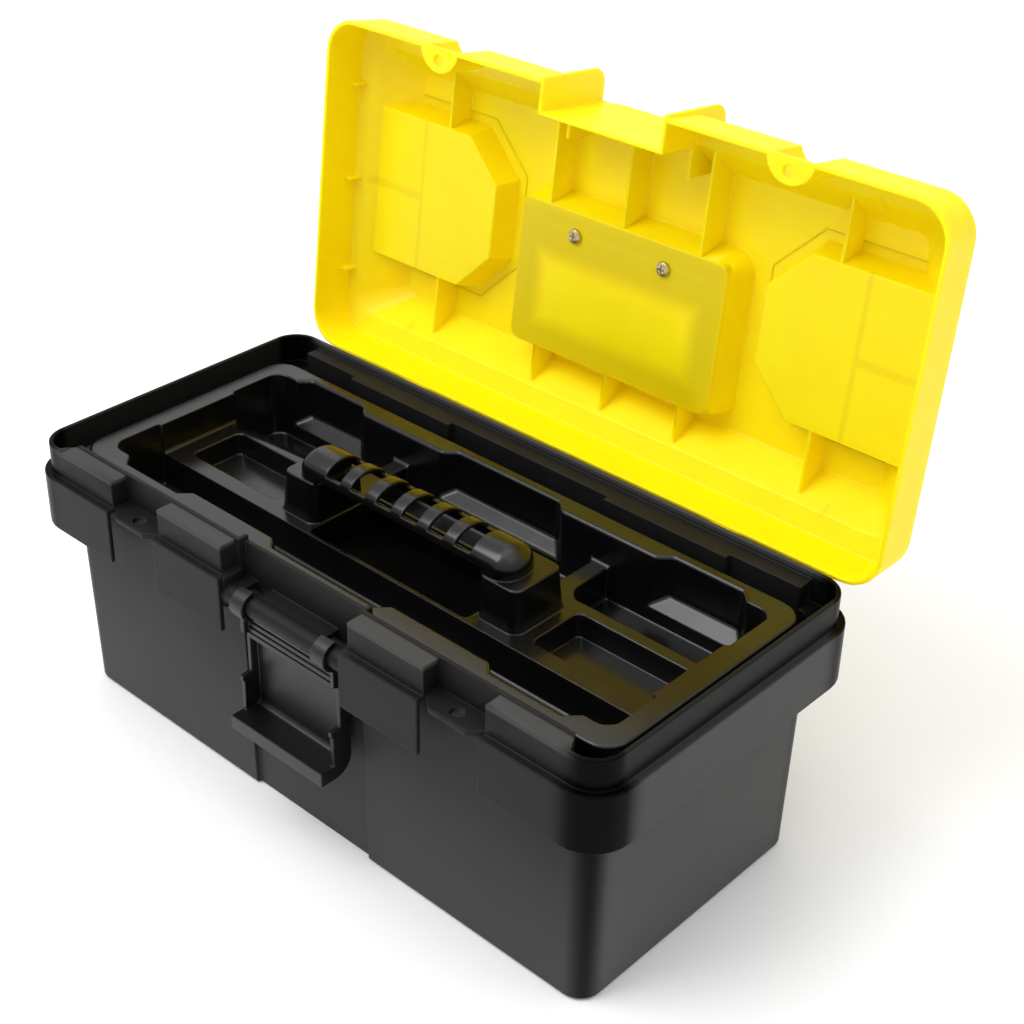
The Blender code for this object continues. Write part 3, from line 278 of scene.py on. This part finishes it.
# ---- materials -------------------------------------------------------------
def textured_black_polypropylene(tree, colours):
    """Polypropylene moulded in a spark-eroded tool: a dry, faintly grained black with pale dust specks."""
    x, y, z = axes(tree, object_place(tree))
    # The real grain is about 0.15 mm across and is drawn at 0.9 mm, or it would not show.
    grain = mottle(tree, 0.9, detail=3.0, roughness=0.65)
    cloud = mottle(tree, 38.0, detail=3.0, roughness=0.6)
    # Lint and scuffs are 0.3 to 0.6 mm across and lie a few millimetres apart.
    specks = mottle(tree, 2.3, detail=4.0, roughness=0.75)
    dust = node(tree, "ShaderNodeMapRange", {"Value": specks, "From Min": 0.735, "From Max": 0.80})
    # Painted light: the walls grow lighter towards the ground, as if lit from the floor, the ends are
    # lighter, as if lit from the sides, and the blocks' tops carry a painted highlight.
    floor_light = node(tree, "ShaderNodeMapRange", {"Value": z, "From Min": WALL_FLOOR_LIGHT[0],
                                               "From Max": WALL_FLOOR_LIGHT[1], "To Max": 0.75})
    # Painted light on both ends of the tub, as if lit from the sides.
    ends = combined(tree, "MULTIPLY", fading(tree, x, *BODY_END), 0.4)
    # Painted highlight on the tops of the front blocks.
    lit_tops = combined(tree, "MULTIPLY", fading(tree, z, *BLOCK_TOP), fading(tree, y, *BLOCK_BACK), 0.5)
    # Towards the upright corners and the rim's ends the surface is drawn smoother, with less gloss and a much
    # darker colour.
    corners = combined(tree, "MULTIPLY", fading(tree, x, *CORNER_X), fading(tree, y, *CORNER_Y))
    rim = combined(tree, "MULTIPLY", fading(tree, z, *RIM_FOOT), fading(tree, x, *RIM_END), 0.8)
    smooth_dark = combined(tree, "MAXIMUM", corners, rim)
    tone = two_tones(tree, cloud, 0.35, 0.68, shade(colours.tub, 0.92), shade(colours.tub, 1.12))
    # How much lighter or darker than the tub's own colour each of them is.
    over = (((dust, "Result"), 1.9), ((floor_light, "Result"), 2.9), (ends, 4.2), (lit_tops, 3.6), (smooth_dark, 0.2))
    tone = layered(tree, tone, *[(mask, shade(colours.tub, factor)) for mask, factor in over])
    gloss = node(tree, "ShaderNodeMapRange", {"Value": smooth_dark, "To Min": 0.17, "To Max": 0.04})
    middle = node(tree, "ShaderNodeMapRange", {"Value": smooth_dark, "To Min": 0.50, "To Max": 0.30})
    spread = node(tree, "ShaderNodeMapRange", {"Value": grain, "To Min": -0.10, "To Max": 0.10})
    rough = node(tree, "ShaderNodeMath", {0: (middle, "Result"), 1: (spread, "Result")}, operation="ADD")
    surface(tree, {
        "Base Color": tone,
        "Roughness": (rough, "Value"),
        "Specular IOR Level": (gloss, "Result"),
        "IOR": 1.49,
        "Normal": relief(tree, 0.0006, (grain, 0.16, 0.0004)),
    })


def glossy_black_polypropylene(tree, colours, roughness, edge_radius, scratch_strength):
    """Polypropylene moulded in a polished tool: soft gloss with sink waves, flow streaks and scratches."""
    x, y, z = axes(tree, object_place(tree))
    waves = mottle(tree, 26.0, detail=1.0)
    streaks = mottle(tree, 9.0, stretch=(0.25, 1, 1), detail=4.0, roughness=0.7)
    # Real scratches are under 0.1 mm wide and are drawn at 0.8 mm, or they would not show.
    scratches = mottle(tree, 0.8, roughness=0.6)
    glossiest, dullest = roughness
    rough = node(tree, "ShaderNodeMapRange", {"Value": streaks, "To Min": glossiest, "To Max": dullest})
    # Painted shade: the deep finger well takes no gloss, so it shows no reflection.
    painted_well_shade = combined(tree, "MULTIPLY", fading(tree, x, *FINGER_WELL_X), fading(tree, y, *FINGER_WELL_Y),
                    fading(tree, z, *FINGER_WELL_TOP))
    gloss = node(tree, "ShaderNodeMapRange", {"Value": painted_well_shade, "To Min": 0.5, "To Max": 0.0})
    surface(tree, {
        "Base Color": two_tones(tree, waves, 0.3, 0.7, shade(colours.tray, 0.8), shade(colours.tray, 1.35)),
        "Roughness": (rough, "Result"),
        "Specular IOR Level": (gloss, "Result"),
        "IOR": 1.49,
        "Normal": relief(tree, edge_radius, (waves, 0.10, 0.0020), (scratches, scratch_strength, 0.0002)),
    })


def on_floors(tree, z):
    """Keeps a shade to the faces near the height of the bin and well floors."""
    height = node(tree, "ShaderNodeMath", {0: z, 1: FLOOR_MIDDLE_Z}, operation="SUBTRACT")
    return fading(tree, (height, "Value"), *FLOOR_BAND)


def painted_handle_shade(tree, x, y, z):
    """Painted shade on the floor of the handle well, where the black handle and its bracket behind it keep
    light from coming through.
    """
    from_middle = node(tree, "ShaderNodeMath", {0: y, 1: WELL_MIDDLE_Y}, operation="SUBTRACT"), "Value"
    from_bar = node(tree, "ShaderNodeMath", {0: y, 1: HANDLE_BAR_Y}, operation="SUBTRACT"), "Value"
    dark = combined(tree, "MAXIMUM", fading(tree, x, *HANDLE_SIDE), fading(tree, from_middle, *HANDLE_REAR),
                    fading(tree, from_bar, *HANDLE_BAR))
    return combined(tree, "MULTIPLY", dark, fading(tree, x, *WELL_END_X),
                    fading(tree, from_middle, *WELL_END_Y), on_floors(tree, z), 0.75)


def behind_bins(tree, x, y, z):
    """The thin shade that the dividers behind the bin floors leave on their lit side."""
    side = node(tree, "ShaderNodeMath", {0: x}, operation="ABSOLUTE")
    from_divider = node(tree, "ShaderNodeMath", {0: (side, "Value"), 1: DIVIDER_X}, operation="SUBTRACT")
    upright = fading(tree, (from_divider, "Value"), *DIVIDER_LINE)
    level = combined(tree, "MULTIPLY", fading(tree, y, *CROSS_DIVIDER_LINE),
                     fading(tree, x, *CROSS_DIVIDER_START))
    return combined(tree, "MULTIPLY", combined(tree, "MAXIMUM", upright, level), on_floors(tree, z))


def yellow_polypropylene(tree, colours):
    """Yellow polypropylene, moulded thin: light soaks through it, and sink waves soften its gloss."""
    waves = mottle(tree, 22.0, detail=1.5)
    streaks = mottle(tree, 7.0, stretch=(1, 0.5, 0.5), detail=3.0, roughness=0.6)
    # The tool's polishing marks are under 0.1 mm wide and are drawn at 0.7 mm, or they would not show.
    marks = mottle(tree, 0.7)
    # The same point on the shut lid, where what lies behind each face is known.
    shut = node(tree, "ShaderNodeMapping",
                {"Vector": object_place(tree), "Rotation": (-LID_OPEN, 0, 0),
                 "Location": HINGE - Matrix.Rotation(-LID_OPEN, 3, "X") @ HINGE})
    place = axes(tree, (shut, "Vector"))
    tone = two_tones(tree, waves, 0.3, 0.7, shade(colours.lid, 0.985), colours.lid)
    # Painted shade where the handle and bracket lie behind the well floor, and a fainter painted shade along
    # the dividers behind the bin floors.
    tone = layered(tree, tone, (painted_handle_shade(tree, *place), colours.lid_shaded),
                   (behind_bins(tree, *place), shade(colours.lid, 0.955)))
    rough = node(tree, "ShaderNodeMapRange", {"Value": streaks, "To Min": 0.36, "To Max": 0.54})
    surface(tree, {
        "Base Color": tone,
        "Roughness": (rough, "Result"),
        "Specular IOR Level": 0.28,
        "IOR": 1.49,
        "Normal": relief(tree, 0.0008, (waves, 0.14, 0.0020), (marks, 0.05, 0.0003)),
        "Subsurface Weight": 0.7,
        "Subsurface Scale": 0.0030,
        "Subsurface Radius": (1.0, 0.85, 0.08),
    })


def clear_polystyrene(tree, colours):
    """Clear polystyrene moulded in a polished tool: a hard gloss with faint handling haze."""
    haze = mottle(tree, 12.0, detail=4.0, roughness=0.7)
    rough = node(tree, "ShaderNodeMapRange", {"Value": haze, "To Min": 0.05, "To Max": 0.16})
    surface(tree, {
        "Base Color": two_tones(tree, haze, 0.3, 0.7, shade(colours.cover, 0.96), colours.cover),
        "Roughness": (rough, "Result"),
        "IOR": 1.57,
        "Alpha": 0.20,
    })


def passivated_zinc(tree, colours):
    """Steel screws, zinc plated and yellow passivated: a pale gold metal with uneven tint."""
    patches = mottle(tree, 1.6, detail=3.0)
    rough = node(tree, "ShaderNodeMapRange", {"Value": patches, "To Min": 0.22, "To Max": 0.42})
    tone = two_tones(tree, patches, 0.3, 0.7, shade(colours.screw, 0.82), shade(colours.screw, 1.1))
    surface(tree, {"Base Color": tone, "Roughness": (rough, "Result"), "Metallic": 1.0})


def drawn_steel(tree, colours):
    """Bright steel wire, drawn to size: fine lines along its length."""
    # Real drawing lines are under 0.1 mm apart and are drawn at 0.5 mm, or they would not show.
    lines = mottle(tree, 0.5, stretch=(0.02, 1, 1))
    rough = node(tree, "ShaderNodeMapRange", {"Value": lines, "To Min": 0.24, "To Max": 0.40})
    tone = two_tones(tree, lines, 0.3, 0.7, shade(colours.pin, 0.85), colours.pin)
    surface(tree, {"Base Color": tone, "Roughness": (rough, "Result"), "Metallic": 1.0})


def painted_floor(tree, colours):
    """A matt painted studio floor, white and nearly even."""
    cloud = mottle(tree, 400.0)
    tone = two_tones(tree, cloud, 0.3, 0.7, shade(colours.floor, 0.995), colours.floor)
    surface(tree, {"Base Color": tone, "Roughness": 0.7, "Specular IOR Level": 0.1})


def material(name, finish, *settings):
    """The material of that name, made the first time a piece needs it."""
    made = bpy.data.materials.get(name)
    if not made:
        made = bpy.data.materials.new(name)
        made.use_nodes = True
        made.node_tree.nodes.clear()
        finish(made.node_tree, bpy.context.scene.toolbox_colours, *settings)
    return made


def tub_look():
    return material("textured_black_polypropylene", textured_black_polypropylene)


def tray_look():
    return material("glossy_black_polypropylene", glossy_black_polypropylene, (0.17, 0.30), 0.0010, 0.04)


def clip_look():
    return material("satin_black_polypropylene", glossy_black_polypropylene, (0.30, 0.46), 0.0005, 0.10)


def lid_look():
    return material("yellow_translucent_polypropylene", yellow_polypropylene)


# ---- modelling -------------------------------------------------------------
def alone(item):
    """Makes item the only selected and the active object."""
    bpy.ops.object.select_all(action="DESELECT")
    item.select_set(True)
    bpy.context.view_layer.objects.active = item


def gap_to(point, start, end):
    """The distance from a point to the straight line between two ends."""
    spot, share = intersect_point_line(point, start, end)
    if share < 0:
        spot = start
    elif share > 1:
        spot = end
    return (point - spot).length


def bent(edge):
    """The angle that an edge turns through, or nothing for an edge that isn't between two faces."""
    return edge.calc_face_angle(0.0) if edge.is_manifold else 0.0


def room(edge):
    """How near an edge's own faces bring it to another corner or edge, which limits the radius on it."""
    start, end = (corner.co for corner in edge.verts)
    spans = []
    for face in edge.link_faces:
        spans += [gap_to(corner.co, start, end) for corner in face.verts if corner not in edge.verts]
        for other in face.edges:
            ends = [corner.co for corner in other.verts]
            spans += [gap_to(corner.co, *ends) for corner in edge.verts if corner not in other.verts]
    return min(spans)


def edge_widths(mesh, radius):
    """The radius that each sharp edge has room for: nothing for a soft edge or one with too little room."""
    shape = bmesh.new()
    shape.from_mesh(mesh)
    widths = [min(radius, room(edge) / ROOM_SHARE) if bent(edge) > SHARP_ANGLE else 0.0
              for edge in shape.edges]
    shape.free()
    return [width if width > LEAST_RADIUS else 0.0 for width in widths]


def crossings(mesh):
    """The points where the outline of a face runs over itself."""
    found = []
    for face in mesh.polygons:
        if len(face.vertices) < FEWEST_TO_CROSS:
            continue
        across = face.normal.orthogonal().normalized()
        up = face.normal.cross(across)
        spots = [mesh.vertices[i].co for i in face.vertices]
        flat = [Vector((spot.dot(across), spot.dot(up))) for spot in spots]
        count = len(flat)
        height = face.normal * spots[0].dot(face.normal)
        for i in range(count):
            for j in range(i + 2, count - (i == 0)):
                hit = intersect_line_line_2d(flat[i], flat[i + 1], flat[j], flat[(j + 1) % count])
                if hit:
                    found.append(across * hit.x + up * hit.y + height)
    return found


def rounded_copy(base, name, radius, segments):
    """A copy of a mesh with its sharp edges rounded, less where two roundings would run into each other."""
    widths = edge_widths(base, radius)
    ends = [[base.vertices[i].co for i in edge.vertices] for edge in base.edges]
    for attempt in range(ROUNDING_TRIES):
        mesh = base.copy()
        mesh.attributes.new("bevel_weight_edge", "FLOAT", "EDGE")
        mesh.attributes["bevel_weight_edge"].data.foreach_set("value", [width / radius for width in widths])
        item = bpy.data.objects.new(name, mesh)
        bpy.context.scene.collection.objects.link(item)
        alone(item)
        rounding = item.modifiers.new("rounded", "BEVEL")
        rounding.width = radius
        rounding.segments = segments
        rounding.limit_method = "WEIGHT"
        rounding.use_clamp_overlap = False
        bpy.ops.object.modifier_apply(modifier="rounded")
        points = crossings(item.data)
        if not points or attempt == ROUNDING_TRIES - 1:
            break
        for i, (start, end) in enumerate(ends):
            if any(gap_to(point, start, end) < NEAR_CROSSING * radius for point in points):
                widths[i] = widths[i] / 2 if widths[i] / 2 > LEAST_RADIUS else 0.0
        bpy.data.objects.remove(item)
    item.data.name = name
    return item


def moulded(source, name, radius, look, body, segments=3):
    """A merged copy of a CAD node with its edges rounded, that stands for the node."""
    flat = bpy.data.objects.new("flat", frame["nodes"][source].data.copy())
    bpy.context.scene.collection.objects.link(flat)
    alone(flat)
    bpy.ops.object.mode_set(mode="EDIT")
    bpy.ops.mesh.select_all(action="SELECT")
    bpy.ops.mesh.remove_doubles(threshold=MERGE_DISTANCE)
    bpy.ops.mesh.dissolve_limited(angle_limit=FLAT_ANGLE)
    bpy.ops.object.mode_set(mode="OBJECT")
    item = rounded_copy(flat.data, name, radius, segments)
    bpy.data.objects.remove(flat)
    smooth(item)
    dress(item, look, body)
    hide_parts(source)
    return item


def smooth(item):
    """Smooth shading that flat faces don't bend, with creases kept."""
    alone(item)
    bpy.ops.object.shade_smooth_by_angle(angle=CREASE_ANGLE)
    item.modifiers.new("weighted", "WEIGHTED_NORMAL").keep_sharp = True
    bpy.ops.object.modifier_apply(modifier="weighted")


def dress(item, look, body):
    """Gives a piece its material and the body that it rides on."""
    item.data.materials.clear()
    item.data.materials.append(look)
    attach(item, body)


def seat_corners(grow):
    """Corners of the line that runs round a bin at that distance outside its floor."""
    inner = BIN_INNER - grow
    low, high = BIN_SPAN[0] - grow, BIN_SPAN[1] + grow
    corner = BIN_CORNER + grow * SEAT_CORNER_GROWTH
    return [(SEAT_END, low), (inner + corner, low), (inner, low + corner), (inner, high - corner),
            (inner + corner, high), (SEAT_END, high)]


def seat_line(width):
    """The line that the cover's seat leaves on the crown's inner face, round the right bin."""
    points = seat_corners(SEAT_OUT - width / 2) + seat_corners(SEAT_OUT + width / 2)[::-1]
    bpy.ops.object.select_all(action="DESELECT")
    bpy.ops.mesh.primitive_circle_add(vertices=len(points), fill_type="NGON")
    item = bpy.context.object
    item.name = "seat_line_right"
    for corner, (x, y) in zip(item.data.vertices, points):
        corner.co = (x, y, CROWN_INSIDE + SEAT_SUNK)
    bpy.ops.object.mode_set(mode="EDIT")
    bpy.ops.mesh.select_all(action="SELECT")
    bpy.ops.mesh.extrude_region_move(TRANSFORM_OT_translate={"value": (0, 0, -SEAT_HEIGHT - SEAT_SUNK)})
    bpy.ops.mesh.select_all(action="SELECT")
    bpy.ops.mesh.normals_make_consistent(inside=False)
    bpy.ops.mesh.bevel(offset=width * SEAT_ROUNDING, segments=2, affect="EDGES")
    bpy.ops.object.mode_set(mode="OBJECT")
    return item


def mirrored(item, name):
    """A copy on the other side of the middle, with its own mesh."""
    alone(item)
    bpy.ops.object.duplicate(linked=False)
    twin = bpy.context.object
    twin.name = name
    twin.data.transform(Matrix.Diagonal((-1, 1, 1, 1)))
    twin.data.flip_normals()
    return twin


def turn_with_lid(item):
    """Turns a piece modelled on the shut lid to where the open lid is, in its mesh."""
    turn = Matrix.Translation(HINGE) @ Matrix.Rotation(LID_OPEN, 4, "X") @ Matrix.Translation(-HINGE)
    item.data.transform(turn @ item.matrix_world)
    item.matrix_world = Matrix()


# ---- operators -------------------------------------------------------------
class TOOLBOX_OT_tub(bpy.types.Operator):
    """Rounds the tub's moulded edges and gives it textured black polypropylene"""
    bl_idname = "toolbox.tub"
    bl_label = "Tub"

    def execute(self, context):
        sizes = context.scene.toolbox_sizes
        moulded("tub", "tub_moulding", sizes.tub_edge, tub_look(), "base")
        return {"FINISHED"}


class TOOLBOX_OT_lid(bpy.types.Operator):
    """Rounds the lid's moulded edges and gives it translucent yellow polypropylene"""
    bl_idname = "toolbox.lid"
    bl_label = "Lid"

    def execute(self, context):
        sizes = context.scene.toolbox_sizes
        moulded("lid", "lid_moulding", sizes.lid_edge, lid_look(), "lid")
        right = seat_line(sizes.seat_width)
        for line in (right, mirrored(right, "seat_line_left")):
            turn_with_lid(line)
            smooth(line)
            dress(line, lid_look(), "lid")
        return {"FINISHED"}


class TOOLBOX_OT_tray(bpy.types.Operator):
    """Rounds the tray's edges and floor corners and gives it glossy black polypropylene"""
    bl_idname = "toolbox.tray"
    bl_label = "Tote tray"

    def execute(self, context):
        sizes = context.scene.toolbox_sizes
        moulded("tote_tray", "tray_moulding", sizes.tray_edge, tray_look(), "tray", segments=4)
        return {"FINISHED"}


class TOOLBOX_OT_clips(bpy.types.Operator):
    """Rounds the edges of the front latch, the carry handle and its bracket"""
    bl_idname = "toolbox.clips"
    bl_label = "Latch, handle and bracket"

    def execute(self, context):
        sizes = context.scene.toolbox_sizes
        moulded("front_latch", "latch_moulding", sizes.small_edge, clip_look(), "latch")
        moulded("carry_handle", "handle_moulding", sizes.handle_edge, clip_look(), "handle")
        moulded("handle_bracket", "bracket_moulding", sizes.small_edge, clip_look(), "lid")
        return {"FINISHED"}


class TOOLBOX_OT_covers(bpy.types.Operator):
    """Rounds the edges of the two clear bin covers"""
    bl_idname = "toolbox.covers"
    bl_label = "Bin covers"

    def execute(self, context):
        edge = context.scene.toolbox_sizes.small_edge
        look = material("clear_moulded_polystyrene", clear_polystyrene)
        for side in ("left", "right"):
            moulded(f"bin_cover_{side}", f"cover_moulding_{side}", edge, look, f"cover_{side}")
        return {"FINISHED"}


class TOOLBOX_OT_metal(bpy.types.Operator):
    """Finishes the bracket screws and the hinge pins"""
    bl_idname = "toolbox.metal"
    bl_label = "Screws and pins"

    def execute(self, context):
        edge = context.scene.toolbox_sizes.metal_edge
        zinc = material("yellow_passivated_zinc_plate", passivated_zinc)
        steel = material("bright_drawn_steel", drawn_steel)
        for side in ("left", "right"):
            moulded(f"handle_screw_{side}", f"screw_{side}", edge, zinc, "lid")
            moulded(f"hinge_pin_{side}", f"pin_{side}", edge, steel, "base")
        return {"FINISHED"}


class TOOLBOX_OT_stage(bpy.types.Operator):
    """Sets out the pale floor, the soft studio light and the camera"""
    bl_idname = "toolbox.stage"
    bl_label = "Stage"

    def light_world(self, world):
        """White light from all round, stronger the higher it comes from."""
        world.use_nodes = True
        tree = world.node_tree
        height = axes(tree, (node(tree, "ShaderNodeTexCoord"), "Generated"))[2]
        added = combined(tree, "MULTIPLY", height, height, WORLD_LIGHT[1])
        strength = node(tree, "ShaderNodeMath", {0: added, 1: WORLD_LIGHT[0]}, operation="ADD")
        background = tree.nodes["Background"]
        background.inputs["Color"].default_value = (1, 1, 1, 1)
        tree.links.new(strength.outputs["Value"], background.inputs["Strength"])

    def execute(self, context):
        scene = context.scene
        scene.view_settings.view_transform = "Standard"
        scene.world = bpy.data.worlds.new("studio")
        self.light_world(scene.world)
        bpy.ops.mesh.primitive_plane_add(size=FLOOR_SIZE, location=(0, 0, -FLOOR_DROP))
        floor = context.object
        floor.name = "studio_floor"
        floor.data.materials.append(material("matt_white_floor_paint", painted_floor))
        bpy.ops.object.camera_add(location=CAMERA_PLACE)
        camera = context.object
        camera.rotation_euler = Euler([math.radians(turn) for turn in CAMERA_TURN])
        camera.data.lens = CAMERA_LENS
        camera.data.sensor_width = CAMERA_SENSOR
        camera.data.shift_x, camera.data.shift_y = CAMERA_SHIFT
        camera.data.clip_start = CAMERA_NEAREST
        scene.camera = camera
        for name, place, power, size in SOFTBOXES:
            bpy.ops.object.light_add(type="AREA", location=place)
            light = context.object
            light.name = name
            light.data.energy = power
            light.data.size = size
            light.rotation_euler = (LIT_POINT - Vector(place)).to_track_quat("-Z", "Y").to_euler()
        return {"FINISHED"}


class TOOLBOX_PT_panel(bpy.types.Panel):
    """Lists the toolbox's pieces, sizes and colours"""
    bl_idname = "TOOLBOX_PT_panel"
    bl_label = "Toolbox"
    bl_space_type = "VIEW_3D"
    bl_region_type = "UI"
    bl_category = "Toolbox"

    def draw(self, context):
        column = self.layout.column()
        for operator in OPERATORS:
            column.operator(operator.bl_idname)
        for group in (context.scene.toolbox_sizes, context.scene.toolbox_colours):
            for name in group.bl_rna.properties.keys():
                if name not in ("rna_type", "name"):
                    column.prop(group, name)


OPERATORS = (TOOLBOX_OT_stage, TOOLBOX_OT_tub, TOOLBOX_OT_lid, TOOLBOX_OT_tray, TOOLBOX_OT_clips,
             TOOLBOX_OT_covers, TOOLBOX_OT_metal)
CLASSES = (ToolboxSizes, ToolboxColours, *OPERATORS, TOOLBOX_PT_panel)


def register():
    for item in CLASSES:
        bpy.utils.register_class(item)
    bpy.types.Scene.toolbox_sizes = bpy.props.PointerProperty(type=ToolboxSizes)
    bpy.types.Scene.toolbox_colours = bpy.props.PointerProperty(type=ToolboxColours)


def unregister():
    del bpy.types.Scene.toolbox_colours
    del bpy.types.Scene.toolbox_sizes
    for item in reversed(CLASSES):
        bpy.utils.unregister_class(item)


def main():
    register()
    bpy.ops.toolbox.stage()
    bpy.ops.toolbox.tub()
    bpy.ops.toolbox.lid()
    bpy.ops.toolbox.tray()
    bpy.ops.toolbox.clips()
    bpy.ops.toolbox.covers()
    bpy.ops.toolbox.metal()


if __name__ == "__main__":
    main()
